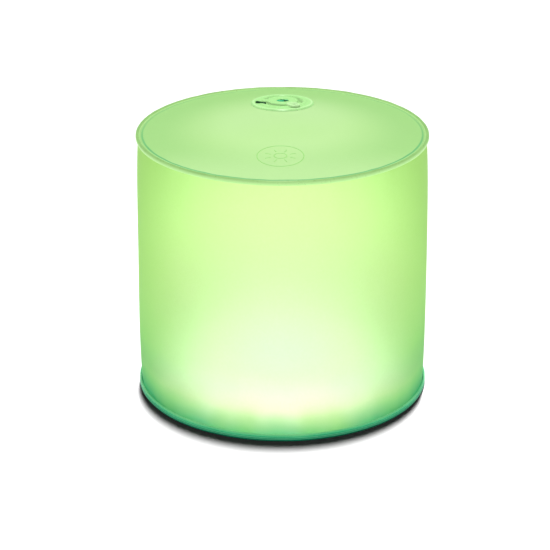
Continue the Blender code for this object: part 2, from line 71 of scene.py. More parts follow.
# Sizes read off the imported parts.
BASE_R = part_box("base_film")[1].x
TOP_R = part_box("top_film")[1].x
RIM_Z = 116.0 * MM
CREASE_R = TOP_R - 1.8 * MM
CREASE_Z = RIM_Z - 0.7 * MM
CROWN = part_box("top_film")[1].z - CREASE_Z
WALL_LOW, WALL_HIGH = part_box("side_wall")[0].z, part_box("side_wall")[1].z
WALL_BASE_R, WALL_TOP_R = BASE_R - 1.3 * MM, TOP_R - 1.0 * MM
BULGE = 0.9 * MM
VALVE_Y = 33.0 * MM
VALVE_HOLE_R = 9.6 * MM
LED_COUNT = 10
LED_RING_R = 32.0 * MM
BUTTON_X, BUTTON_Y = 11.0 * MM, -37.9 * MM

# The looks' own sizes.
GLOW_HEIGHT = 112.0 * MM
FLOOR_R = 1.1
PHOTO_PX = 550
FOCAL_PX = 2082.0


def crown_height(radius):
    """Height of the top film at a distance from the axis."""
    return CREASE_Z + CROWN * (1 - (radius / CREASE_R) ** 2)


VALVE = Matrix.Translation((0, VALVE_Y, crown_height(VALVE_Y))) @ Matrix.Rotation(
    -math.atan2(VALVE_AXIS.y, VALVE_AXIS.z), 4, "X"
)


# ---------------------------------------------------------------- node helpers


class Nodes:
    """Builds one material's node tree."""

    def __init__(self, name):
        self.material = bpy.data.materials.new(name)
        self.material.use_nodes = True
        self.tree = self.material.node_tree
        self.shader = self.tree.nodes["Principled BSDF"]

    def new(self, kind, **settings):
        """A new node with these settings."""
        node = self.tree.nodes.new(kind)
        for key, value in settings.items():
            setattr(node, key, value)
        return node

    def link(self, source, target):
        self.tree.links.new(source, target)

    def set(self, **inputs):
        """Puts values, (r, g, b) colours or links on the shader's sockets."""
        for key, value in inputs.items():
            socket = self.shader.inputs[key.replace("_", " ")]
            if isinstance(value, bpy.types.NodeSocket):
                self.link(value, socket)
            elif isinstance(value, tuple) and len(value) == 3:
                socket.default_value = (*value, 1.0)
            else:
                socket.default_value = value

    def math(self, operation, a, b=0.0, c=0.0):
        """A math node's result, from numbers or links."""
        node = self.new("ShaderNodeMath", operation=operation)
        for socket, value in zip(node.inputs, (a, b, c)):
            if isinstance(value, bpy.types.NodeSocket):
                self.link(value, socket)
            else:
                socket.default_value = value
        return node.outputs[0]

    def place(self):
        """The point on the part, in metres, and its x, y and z."""
        coordinates = self.new("ShaderNodeTexCoord").outputs["Object"]
        split = self.new("ShaderNodeSeparateXYZ")
        self.link(coordinates, split.inputs[0])
        return coordinates, *split.outputs

    def noise(self, where, scale, detail=3.0, roughness=0.5):
        """Smooth noise, mostly between 0.3 and 0.7."""
        node = self.new("ShaderNodeTexNoise")
        self.link(where, node.inputs["Vector"])
        node.inputs["Scale"].default_value = scale
        node.inputs["Detail"].default_value = detail
        node.inputs["Roughness"].default_value = roughness
        return node.outputs["Fac"]

    def span(self, value, low, high, to_low=0.0, to_high=1.0, smooth=False):
        """Takes low..high to to_low..to_high, and holds it at the ends."""
        node = self.new("ShaderNodeMapRange")
        if smooth:
            node.interpolation_type = "SMOOTHSTEP"
        self.link(value, node.inputs["Value"])
        for key, number in (
            ("From Min", low), ("From Max", high), ("To Min", to_low), ("To Max", to_high)
        ):
            node.inputs[key].default_value = number
        return node.outputs["Result"]

    def ramp(self, value, stops):
        """A colour that runs straight from one (position, colour) stop to the next."""
        node = self.new("ShaderNodeValToRGB")
        elements = node.color_ramp.elements
        for position, colour in stops[2:]:
            elements.new(position)
        for element, (position, colour) in zip(elements, stops):
            element.position = position
            element.color = (*colour, 1.0)
        self.link(value, node.inputs[0])
        return node.outputs[0]

    def mix(self, share, a, b):
        """Colour a going to colour b as share goes from 0 to 1."""
        node = self.new("ShaderNodeMix", data_type="RGBA")
        for socket, value in ((node.inputs[0], share), (node.inputs[6], a), (node.inputs[7], b)):
            if isinstance(value, bpy.types.NodeSocket):
                self.link(value, socket)
            elif isinstance(value, tuple):
                socket.default_value = (*value, 1.0)
            else:
                socket.default_value = value
        return node.outputs[2]

    def radius(self, x, y):
        """Distance from the lantern's axis."""
        square = self.math("ADD", self.math("MULTIPLY", x, x), self.math("MULTIPLY", y, y))
        return self.math("SQRT", square)

    def lobes(self, x, y):
        """The angle round the axis, and a ripple with one crest between each pair of diodes."""
        turn = self.math("ARCTAN2", x, self.math("MULTIPLY", y, -1.0))
        around = self.math("COSINE", self.math("MULTIPLY", turn, float(LED_COUNT)))
        return turn, self.math("MULTIPLY", around, -1.0)

    def face_on(self, share):
        """share where the film is seen square on, falling to nothing where it's seen edge on."""
        node = self.new("ShaderNodeLayerWeight")
        node.inputs["Blend"].default_value = 0.5
        square = self.math("SUBTRACT", 1.0, node.outputs["Facing"])
        return self.math("MULTIPLY", square, share)

    def bump(self, height, strength, distance, onto=None):
        """A normal tilted by height, on top of another normal if there is one."""
        node = self.new("ShaderNodeBump")
        node.inputs["Strength"].default_value = strength
        node.inputs["Distance"].default_value = distance
        self.link(height, node.inputs["Height"])
        if onto is not None:
            self.link(onto, node.inputs["Normal"])
        return node.outputs[0]


# ---------------------------------------------------------------- mesh helpers


def mesh_object(name, vertices, faces, smooth=True):
    """A mesh piece with its face normals pointing out."""
    mesh = bpy.data.meshes.new(name)
    mesh.from_pydata([tuple(v) for v in vertices], [], faces)
    shape = bmesh.new()
    shape.from_mesh(mesh)
    bmesh.ops.remove_doubles(shape, verts=shape.verts, dist=1e-7)
    bmesh.ops.recalc_face_normals(shape, faces=shape.faces)
    shape.to_mesh(mesh)
    shape.free()
    obj = bpy.data.objects.new(name, mesh)
    bpy.context.scene.collection.objects.link(obj)
    if smooth:
        mesh.shade_smooth()
        mesh.set_sharp_from_angle(angle=math.radians(50))
    return obj


def lathe(name, profile, segments=160, offset=None, matrix=None):
    """A closed turned mesh from a loop of (radius, height) points.

    offset(angle, index) gives each point's extra (radius, height), and angle 0 is towards -Y.
    """
    count = len(profile)
    vertices, rows = [], []
    for index, (radius, height) in enumerate(profile):
        if radius < 1e-9:
            rows.append([len(vertices)] * segments)
            vertices.append((0.0, 0.0, height))
            continue
        row = []
        for step in range(segments):
            angle = math.tau * step / segments
            more_r, more_z = offset(angle, index) if offset else (0.0, 0.0)
            r = radius + more_r
            row.append(len(vertices))
            vertices.append((r * math.sin(angle), -r * math.cos(angle), height + more_z))
        rows.append(row)
    faces = []
    for index in range(count):
        low, high = rows[index], rows[(index + 1) % count]
        if low[0] == low[1] and high[0] == high[1]:
            continue
        for step in range(segments):
            after = (step + 1) % segments
            corners = (low[step], low[after], high[after], high[step])
            faces.append(tuple(dict.fromkeys(corners)))
    obj = mesh_object(name, vertices, faces)
    if matrix is not None:
        obj.data.transform(matrix)
    return obj


def rounded(points, radius, spans=4):
    """A closed (radius, height) loop with its corners rounded."""
    done = []
    count = len(points)
    for i in range(count):
        a, b, c = (Vector(points[(i + k) % count]) for k in (-1, 0, 1))
        if b.x < 1e-9:
            done.append(tuple(b))
            continue
        reach = min(radius, (a - b).length * 0.45, (c - b).length * 0.45)
        start, end = b + (a - b).normalized() * reach, b + (c - b).normalized() * reach
        for k in range(spans + 1):
            t = k / spans
            done.append(tuple((1 - t) ** 2 * start + 2 * t * (1 - t) * b + t * t * end))
    return done


def slab(name, outline, low, high, bevel=0.0, segments=3):
    """An upright plate on an (x, y) outline, with rounded edges."""
    shape = bmesh.new()
    bottom = [shape.verts.new((x, y, low)) for x, y in outline]
    face = shape.faces.new(bottom)
    raised = bmesh.ops.extrude_face_region(shape, geom=[face])
    tops = [v for v in raised["geom"] if isinstance(v, bmesh.types.BMVert)]
    bmesh.ops.translate(shape, verts=tops, vec=(0, 0, high - low))
    bmesh.ops.recalc_face_normals(shape, faces=shape.faces)
    if bevel:
        flat = [
            e for e in shape.edges
            if len(e.link_faces) == 2 and e.calc_face_angle(0.0) > math.radians(50)
        ]
        bmesh.ops.bevel(
            shape, geom=flat, offset=bevel, segments=segments, profile=0.5, affect="EDGES"
        )
    mesh = bpy.data.meshes.new(name)
    shape.to_mesh(mesh)
    shape.free()
    mesh.shade_smooth()
    mesh.set_sharp_from_angle(angle=math.radians(40))
    obj = bpy.data.objects.new(name, mesh)
    bpy.context.scene.collection.objects.link(obj)
    return obj


def outline_of(width, depth, corner, centre=(0, 0), turn=0.0, spans=6):
    """A rounded rectangle as (x, y) points."""
    corner = min(corner, width / 2, depth / 2)
    points = []
    for quarter in range(4):
        sx, sy = ((1, 1), (-1, 1), (-1, -1), (1, -1))[quarter]
        cx, cy = sx * (width / 2 - corner), sy * (depth / 2 - corner)
        for k in range(spans + 1):
            a = math.pi / 2 * (quarter + k / spans)
            x, y = cx + corner * math.cos(a), cy + corner * math.sin(a)
            points.append((
                centre[0] + x * math.cos(turn) - y * math.sin(turn),
                centre[1] + x * math.sin(turn) + y * math.cos(turn),
            ))
    return points


def combine(target, tool, operation):
    """Applies a Boolean and removes the tool."""
    change = target.modifiers.new("change", "BOOLEAN")
    change.operation = operation
    change.solver = "EXACT"
    change.object = tool
    graph = bpy.context.evaluated_depsgraph_get()
    mesh = bpy.data.meshes.new_from_object(target.evaluated_get(graph), depsgraph=graph)
    target.modifiers.clear()
    old = target.data
    target.data = mesh
    bpy.data.meshes.remove(old)
    bpy.data.objects.remove(tool)
    return target


def paint(obj, *materials):
    """Swaps an object's materials for these."""
    obj.data.materials.clear()
    for material in materials:
        obj.data.materials.append(material)
    return obj


def fit(obj, material, body, nodes=()):
    """Finishes a piece: its material, the body it rides on, and the parts it stands for."""
    paint(obj, *(material if isinstance(material, (list, tuple)) else (material,)))
    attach(obj, body)
    if nodes:
        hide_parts(*nodes)
    return obj


def wave(angle, *terms):
    """A fixed irregular ripple round the drum, as (turns, share, phase) terms."""
    return sum(share * math.sin(turns * angle + phase) for turns, share, phase in terms)


PUCKER = ((31, 0.5, 0.4), (47, 0.35, 2.1), (73, 0.25, 4.0), (19, 0.3, 1.2))
SLACK = ((3, 0.5, 0.7), (5, 0.4, 2.9), (8, 0.3, 5.1))


# ---------------------------------------------------------------- materials


def top_painted_shade(n, light, base):
    """The top's painted glow and base colour: painted patches, painted shade towards the rim,
    and a weld line darkened partly by its own colour and partly by painted shade.
    """
    where, x, y, _ = n.place()
    radius = n.radius(x, y)
    # Painted patches of brighter and dimmer glow.
    patch = n.noise(where, 16.0, 1.0)
    light = n.mix(n.span(patch, 0.35, 0.65), light, (0.34, 0.50, 0.24))
    # Painted shade: the glow dims towards the rim, least at the front.
    back = n.span(y, -55 * MM, -20 * MM, smooth=True)
    edge = n.mix(back, (0.31, 0.46, 0.24), (0.21, 0.38, 0.16))
    light = n.mix(n.span(radius, 22 * MM, 54 * MM, smooth=True), light, edge)
    # The weld line: the weld's own darker colour, and painted shade along it, strongest at the
    # front.
    away = n.math("ABSOLUTE", n.math("SUBTRACT", radius, CREASE_R - 1.0 * MM))
    line = n.span(away, 0.2 * MM, 0.6 * MM, 1.0, 0.0)
    line = n.math("MULTIPLY", line, n.span(y, -30 * MM, 20 * MM, 1.0, 0.4, smooth=True))
    return n.mix(line, light, (0.06, 0.20, 0.07)), n.mix(line, base, (0.07, 0.26, 0.10))


def frosted(name, glow, lobes=False, see=0.5, tint=(0.28, 0.56, 0.17), rough=0.5, coat=0.0,
            crease=False, low=0.0, high=GLOW_HEIGHT, drift=6.0 * MM):
    """Green frosted vinyl, with painted glow standing in for the diodes' light from inside.

    glow is the painted light it gives out: one colour, or (share, colour) stops from the height
    low to high. see is the share of light that passes straight through. lobes adds painted
    scallops of the diodes' light, and painted shade that turns the lower wall a deeper green where
    the module shades it. crease adds the top's painted patches, painted shade towards the rim, and
    a weld line darkened partly by its own colour and partly by painted shade.
    """
    n = Nodes(name)
    where, x, y, z = n.place()
    haze = n.noise(where, 900.0, 4.0, 0.6)
    milky = tuple(share + 0.06 for share in tint)
    base = n.mix(n.span(haze, 0.3, 0.7, 0.0, 0.25), tint, milky)
    light = glow
    if isinstance(glow, list):
        # Painted glow: a cloudy ramp up the film's height.
        cloud = n.noise(where, 45.0, 2.0)
        height = n.math("ADD", z, n.math("MULTIPLY", n.math("SUBTRACT", cloud, 0.5), drift))
        if lobes:
            # Painted scallops of the diodes' light low on the wall.
            _, ripple = n.lobes(x, y)
            near = n.span(z, 4 * MM, 26 * MM, 1.0, 0.0, smooth=True)
            lift = n.math("MULTIPLY", n.math("MULTIPLY", ripple, near), 0.8 * MM)
            height = n.math("ADD", height, lift)
            # Painted shade: the lower wall's base colour turns a deeper green where the module
            # shades it.
            base = n.mix(n.span(height, 3 * MM, 14 * MM), (0.04, 0.42, 0.13), base)
        light = n.ramp(n.span(height, low, high), glow)
    if crease:
        light, base = top_painted_shade(n, light, base)
    grain = n.noise(where, 5200.0, 2.0)
    n.set(
        Base_Color=base,
        Roughness=n.span(haze, 0.25, 0.75, rough - 0.05, rough + 0.05),
        IOR=1.4,
        Transmission_Weight=n.face_on(see),
        Specular_IOR_Level=0.03,
        Coat_Weight=coat,
        Coat_Roughness=0.28,
        Emission_Color=light,
        Emission_Strength=1.0,
        Normal=n.bump(grain, 0.12, 0.04 * MM, n.bump(haze, 0.10, 0.08 * MM)),
    )
    n.material.cycles.emission_sampling = "NONE"
    return n.material


def inside_face(name, glow):
    """The inner side of the frosted vinyl, with painted glow on the face that looks into the drum.
    """
    n = Nodes(name)
    where, *_, z = n.place()
    light = n.ramp(n.span(z, 0.0, GLOW_HEIGHT), glow) if isinstance(glow, list) else glow
    side = n.new("ShaderNodeNewGeometry").outputs["Backfacing"]
    grain = n.noise(where, 900.0, 3.0)
    n.set(
        Base_Color=(0.9, 1.0, 0.9),
        Roughness=n.span(grain, 0.25, 0.75, 0.45, 0.55),
        IOR=1.4,
        Transmission_Weight=0.95,
        Emission_Color=n.mix(side, light, (0.0, 0.0, 0.0)),
        Emission_Strength=1.0,
    )
    n.material.cycles.emission_sampling = "NONE"
    return n.material


# The painted glow that each film gives, standing in for the diodes' light through it: one colour,
# or (share of its height, colour) stops. The wall's dims low down as painted shade.
WALL_GLOW = [
    (0.00, (0.00, 0.06, 0.02)),
    (0.03, (0.00, 0.12, 0.04)),
    (0.05, (0.00, 0.14, 0.03)),
    (0.07, (0.00, 0.17, 0.03)),
    (0.09, (0.00, 0.19, 0.02)),
    (0.16, (0.00, 0.18, 0.02)),
    (0.21, (0.02, 0.22, 0.02)),
    (0.26, (0.06, 0.27, 0.02)),
    (0.33, (0.10, 0.30, 0.03)),
    (0.42, (0.13, 0.32, 0.035)),
    (0.55, (0.15, 0.33, 0.035)),
    (1.00, (0.17, 0.33, 0.04)),
]
INNER_GLOW = [
    (0.00, (0.3, 0.45, 0.3)),
    (0.06, (0.9, 0.6, 0.9)),
    (0.14, (1.8, 0.8, 1.9)),
    (0.42, (1.8, 0.8, 1.6)),
    (0.50, (2.6, 2.0, 2.0)),
    (0.64, (2.2, 1.8, 1.7)),
    (0.78, (0.8, 0.7, 0.8)),
    (1.00, (0.2, 0.2, 0.2)),
]
TOP_GLOW = (0.36, 0.50, 0.28)
UNDER_TOP_GLOW = (0.6, 0.5, 0.6)
# Painted glow on the welded bead, dimmer towards its top.
RIM_GLOW = [
    (0.00, (0.36, 0.57, 0.24)),
    (0.50, (0.34, 0.54, 0.22)),
    (0.75, (0.23, 0.36, 0.14)),
    (0.90, (0.10, 0.15, 0.05)),
    (1.00, (0.06, 0.09, 0.03)),
]
MARK_GLOW = (0.05, 0.15, 0.03)
VALVE_GLOW = (0.17, 0.29, 0.12)
# A painted highlight, for the valve flange's outer bead and the stopper's finger tab.
PAINTED_EDGE_HIGHLIGHT = (0.20, 0.26, 0.16)
# Dim glow of the stopper's thick rib, also used as painted shade in the stopper's hollow.
THICK_AND_HOLLOW_SHADE_GLOW = (0.02, 0.2, 0.09)
# The base rim's painted glow, almost nothing at the floor as painted shade.
BASE_RIM_GLOW = [
    (0.00, (0.0, 0.01, 0.005)),
    (0.15, (0.0, 0.04, 0.02)),
    (0.28, (0.0, 0.09, 0.045)),
    (0.55, (0.0, 0.19, 0.08)),
    (0.75, (0.05, 0.37, 0.15)),
    (1.00, (0.16, 0.5, 0.2)),
]
# The module film's painted glow, with stops at millimetres from the axis.
MODULE_GLOW_R = 62.0
MODULE_GLOW = [
    (0.0, (1.8, 1.1, 2.8)),
    (18.0, (2.2, 1.5, 3.2)),
    (32.0, (2.4, 1.9, 2.2)),
    (38.0, (2.8, 2.2, 2.9)),
    (45.0, (3.3, 2.2, 3.8)),
    (51.5, (3.9, 2.2, 3.4)),
    (55.5, (2.3, 1.5, 1.6)),
    (57.5, (2.1, 1.4, 1.3)),
    (60.0, (1.8, 1.4, 0.9)),
    (MODULE_GLOW_R, (1.5, 1.3, 0.7)),
]


def plastic(name, colour, roughness, scale=1500.0, bump=0.06, vary=0.06, metallic=0.0, **more):
    """Moulded or pressed stock with a fine grain and slight unevenness."""
    n = Nodes(name)
    where, *_ = n.place()
    grain = n.noise(where, scale, 3.0)
    patch = n.noise(where, 60.0, 2.0)
    dark = tuple(max(0.0, c * (1 - 2 * vary)) for c in colour)
    light = tuple(min(1.0, c * (1 + vary)) for c in colour)
    n.set(
        Base_Color=n.mix(n.span(patch, 0.3, 0.7), dark, light),
        Roughness=n.span(grain, 0.3, 0.7, max(0.02, roughness - 0.06), roughness + 0.06),
        Metallic=metallic,
        Normal=n.bump(grain, bump, 0.1 * MM),
        **more,
    )
    return n.material


# ---------------------------------------------------------------- pieces


def side_wall():
    """The film tube: bulged by the air, puckered at both welds, with one seam at the back."""
    rows = 64

    def height(i):
        """Rows are closer together near both welds."""
        t = i / rows
        return t - 0.11 * math.sin(math.tau * t)

    def outer(i):
        up = height(i)
        radius = WALL_BASE_R + (WALL_TOP_R - WALL_BASE_R) * up
        radius += BULGE * (1 - abs(2 * up - 1) ** 4)
        return radius, WALL_LOW + (WALL_HIGH - WALL_LOW) * up

    outside = [outer(i) for i in range(rows + 1)]
    inside = [(r - 0.32 * MM, z) for r, z in reversed(outside)]

    def offset(angle, index):
        i = index if index <= rows else 2 * rows + 1 - index
        z = outside[i][1]
        low, high = z - WALL_LOW, WALL_HIGH - z
        pucker = wave(angle, *PUCKER) * 0.10 * math.exp(-low / (6 * MM))
        pucker += wave(angle + 0.7, *PUCKER) * 0.08 * math.exp(-high / (7 * MM))
        middle = math.sin(math.pi * low / (low + high))
        slack = wave(angle + 9 * low, *SLACK) * 0.12 * middle
        back = abs(angle - math.pi) * WALL_BASE_R
        seam = 0.14 * min(1.0, max(0.0, (2.9 * MM - back) / (0.6 * MM)))
        return (pucker + slack + seam) * MM, 0.0

    wall = lathe("frosted_wall", outside + inside, 288, offset)
    # Painted glow on the wall's outside and on its inside face.
    fit(
        wall,
        [frosted("frosted_vinyl_wall", WALL_GLOW, lobes=True),
         inside_face("frosted_vinyl_inside", INNER_GLOW)],
        "base", ["side_wall"],
    )
    for polygon in wall.data.polygons:
        outward = Vector((polygon.center.x, polygon.center.y, 0)).normalized()
        polygon.material_index = 1 if polygon.normal.dot(outward) < -0.3 else 0
    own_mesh(wall)


def top_film():
    """The crowned top disc with its welded bead, open where the valve goes through."""
    count = 40
    radii = [CREASE_R * i / count for i in range(count + 1)]
    outside = [(r, crown_height(r)) for r in radii]
    bead = [(TOP_R - dr * MM, RIM_Z - dz * MM) for dr, dz in (
        (1.62, 0.86), (1.45, 0.50), (1.25, 0.20), (0.98, 0.03), (0.70, 0.00), (0.38, 0.10),
        (0.12, 0.40), (0.02, 0.80), (0.00, 1.20), (0.10, 1.65), (0.32, 1.98), (0.52, 2.10),
        (0.60, 1.90), (0.60, 1.40),
    )]
    inside = [(r, z - 0.35 * MM) for r, z in reversed(outside)]
    profile = outside + bead + inside

    def offset(angle, index):
        if index <= count:
            r = radii[index]
        elif index <= count + len(bead):
            ripple = wave(angle, *PUCKER) * 0.05 * MM
            return 0.0, ripple if index < count + 8 else 0.0
        else:
            r = radii[len(profile) - 1 - index]
        near = math.exp(-(CREASE_R - r) / (6 * MM)) * min(1.0, (CREASE_R - r) / (1.5 * MM))
        pucker = wave(angle, *PUCKER) * 0.10 * near
        sag = wave(angle, *SLACK) * 0.12 * (r / CREASE_R) ** 2 * (1 - (r / CREASE_R) ** 6)
        return 0.0, (pucker + sag) * MM

    film = lathe("frosted_top", profile, 288, offset)
    hole = lathe("hole", [(0, 4 * MM), (VALVE_HOLE_R, 4 * MM), (VALVE_HOLE_R, -4 * MM),
                          (0, -4 * MM)], 96, matrix=VALVE)
    combine(film, hole, "DIFFERENCE")
    film.data.shade_smooth()
    film.data.set_sharp_from_angle(angle=math.radians(50))
    # Painted glow on the top, on its underside and on the welded bead.
    fit(
        film,
        [frosted("frosted_vinyl_top", TOP_GLOW, see=0.42, tint=(0.137, 0.259, 0.069),
                 crease=True),
         inside_face("frosted_vinyl_under_top", UNDER_TOP_GLOW),
         frosted("welded_rim", RIM_GLOW, see=0.2, tint=(0.20, 0.40, 0.13), rough=0.3, coat=0.1,
                 low=RIM_Z - 2.2 * MM, high=RIM_Z, drift=0.4 * MM)],
        "top", ["top_film"],
    )
    for polygon in film.data.polygons:
        c = polygon.center
        out = math.hypot(c.x, c.y)
        if out > CREASE_R + 0.2 * MM:
            polygon.material_index = 2
        else:
            polygon.material_index = 1 if polygon.normal.z < -0.3 else 0


def on_crown(x, y, above=0.0):
    """A point on the top film, or above it."""
    return Vector((x, y, crown_height(math.hypot(x, y)) + above))


def raised_line(points, width, height, closed=False, sink=0.12 * MM):
    """Vertices and faces of a low rounded ridge along (x, y) points on the crowned top."""
    arch = [(-0.5, -sink), (-0.5, 0.0), (-0.3, 0.72 * height), (0.0, height),
            (0.3, 0.72 * height), (0.5, 0.0), (0.5, -sink)]
    vertices, faces = [], []
    count = len(points)
    for i, (x, y) in enumerate(points):
        before = points[i - 1] if closed or i else points[i]
        after = points[(i + 1) % count] if closed or i + 1 < count else points[i]
        along = Vector((after[0] - before[0], after[1] - before[1])).normalized()
        side = Vector((along.y, -along.x))
        for across, up in arch:
            px, py = x + side.x * across * width, y + side.y * across * width
            vertices.append(on_crown(px, py, up))
    ring = len(arch)
    for i in range(count if closed else count - 1):
        low, high = i * ring, ((i + 1) % count) * ring
        for k in range(ring):
            after = (k + 1) % ring
            faces.append((low + k, low + after, high + after, high + k))
    if not closed:
        faces.append(tuple(range(ring - 1, -1, -1)))
        faces.append(tuple((count - 1) * ring + k for k in range(ring)))
    return vertices, faces


def top_mark():
    """A plain raised ring with a small sun in it, moulded in the top."""
    centre = Vector((-0.8 * MM, -35.9 * MM))
    lines = []

    def circle(rx, ry, steps):
        return [
            (centre.x + rx * math.cos(math.tau * k / steps),
             centre.y + ry * math.sin(math.tau * k / steps))
            for k in range(steps)
        ]

    lines.append(raised_line(circle(9.6 * MM, 10.7 * MM, 96), 0.42 * MM, 0.16 * MM, True))
    lines.append(raised_line(circle(2.6 * MM, 2.7 * MM, 40), 0.42 * MM, 0.14 * MM, True))
    for k in range(8):
        turn = math.tau * (k + 0.5) / 8
        way = Vector((math.cos(turn), math.sin(turn)))
        ray = [tuple(centre + way * (4.3 + 2.4 * t / 5) * MM) for t in range(6)]
        lines.append(raised_line(ray, 0.42 * MM, 0.14 * MM))
    vertices, faces = [], []
    for points, sides in lines:
        start = len(vertices)
        vertices += points
        faces += [tuple(start + v for v in side) for side in sides]
    mark = mesh_object("top_mark", vertices, faces)
    # The mark's glow is painted, dimmer than the top's.
    fit(mark, frosted("moulded_mark", MARK_GLOW, rough=0.35), "top")


def soft_plate(name, outline, low, high, bevel):
    """A soft moulded plate in the valve's own frame."""
    plate = slab(name, outline, low, high, bevel)
    plate.data.transform(VALVE)
    return plate


def joined(name, *objects):
    """Several closed shells as one piece."""
    shape = bmesh.new()
    for obj in objects:
        shape.from_mesh(obj.data)
    mesh = bpy.data.meshes.new(name)
    shape.to_mesh(mesh)
    shape.free()
    for obj in objects:
        bpy.data.objects.remove(obj)
    mesh.shade_smooth()
    mesh.set_sharp_from_angle(angle=math.radians(40))
    whole = bpy.data.objects.new(name, mesh)
    bpy.context.scene.collection.objects.link(whole)
    return whole


def in_valve(polygon):
    """A polygon's distance from the valve's axis, and its height above the top film there."""
    centre = VALVE.inverted() @ polygon.center
    return math.hypot(centre.x, centre.y), centre.z


def valve_mouth(vinyl, edge, painted_shadow_vinyl):
    """The flange welded to the top film, with a painted highlight on its outer bead, and the strap
    that holds the tether, coloured dark as painted shadow.
    """
    flange = lathe("valve_ring", rounded([
        (8.9 * MM, 0.7 * MM), (9.3 * MM, 1.15 * MM), (10.3 * MM, 1.15 * MM),
        (11.0 * MM, 0.72 * MM), (12.4 * MM, 0.62 * MM), (12.9 * MM, 0.72 * MM),
        (13.4 * MM, 0.5 * MM), (14.0 * MM, -0.1 * MM), (9.3 * MM, -0.1 * MM),
        (9.3 * MM, -1.2 * MM), (8.9 * MM, -1.2 * MM),
    ], 0.28 * MM), 144, lambda angle, index: (0.0, wave(angle, *SLACK) * 0.05 * MM), VALVE)
    fit(flange, [vinyl, edge], "top", ["valve_flange"])
    # The flange's outer bead takes the painted highlight.
    for polygon in flange.data.polygons:
        out, up = in_valve(polygon)
        polygon.material_index = 1 if 12.5 * MM < out < 13.3 * MM and up > 0.4 * MM else 0

    strap = soft_plate("tether_anchor", outline_of(5.2 * MM, 1.5 * MM, 0.7 * MM,
                                                   (-9.5 * MM, -3.2 * MM), math.radians(-31)),
                       0.4 * MM, 1.4 * MM, 0.16 * MM)
    # The strap takes the dark painted shadow.
    fit(strap, painted_shadow_vinyl, "top")


def valve_membrane(vinyl):
    """The folded membrane between the flange and the stem."""
    folds = lathe("valve_membrane", rounded([
        (8.75 * MM, -0.75 * MM), (8.6 * MM, -1.2 * MM), (8.15 * MM, -2.4 * MM),
        (7.75 * MM, -3.3 * MM), (7.2 * MM, -4.6 * MM), (6.35 * MM, -6.2 * MM),
        (6.3 * MM, -5.6 * MM), (6.95 * MM, -4.3 * MM), (7.5 * MM, -3.1 * MM),
        (7.95 * MM, -2.1 * MM), (8.4 * MM, -1.0 * MM), (8.5 * MM, -0.75 * MM),
    ], 0.2 * MM), 96, lambda angle, index: (0.06 * MM * math.sin(16 * angle), 0.0), VALVE)
    fit(folds, vinyl, "top", ["valve_diaphragm"])
    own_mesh(folds)


def valve_stem(vinyl):
    """The short tube with its lip and tether lug."""
    tube = lathe("valve_tube", rounded([
        (6.8 * MM, 0.6 * MM), (6.8 * MM, 0.02 * MM), (6.0 * MM, -0.4 * MM), (6.0 * MM, -2.0 * MM),
        (5.85 * MM, -2.3 * MM), (6.0 * MM, -2.6 * MM), (6.0 * MM, -6.6 * MM),
        (4.0 * MM, -6.6 * MM), (4.0 * MM, 0.2 * MM), (4.4 * MM, 0.6 * MM),
    ], 0.18 * MM), 96, matrix=VALVE)
    lug = soft_plate("lug", outline_of(2.4 * MM, 4.4 * MM, 0.9 * MM, (-7.2 * MM, 0)),
                     0.07 * MM, 0.57 * MM, 0.12 * MM)
    fit(joined("valve_tube_and_lug", tube, lug), vinyl, "stem", ["valve_stem"])


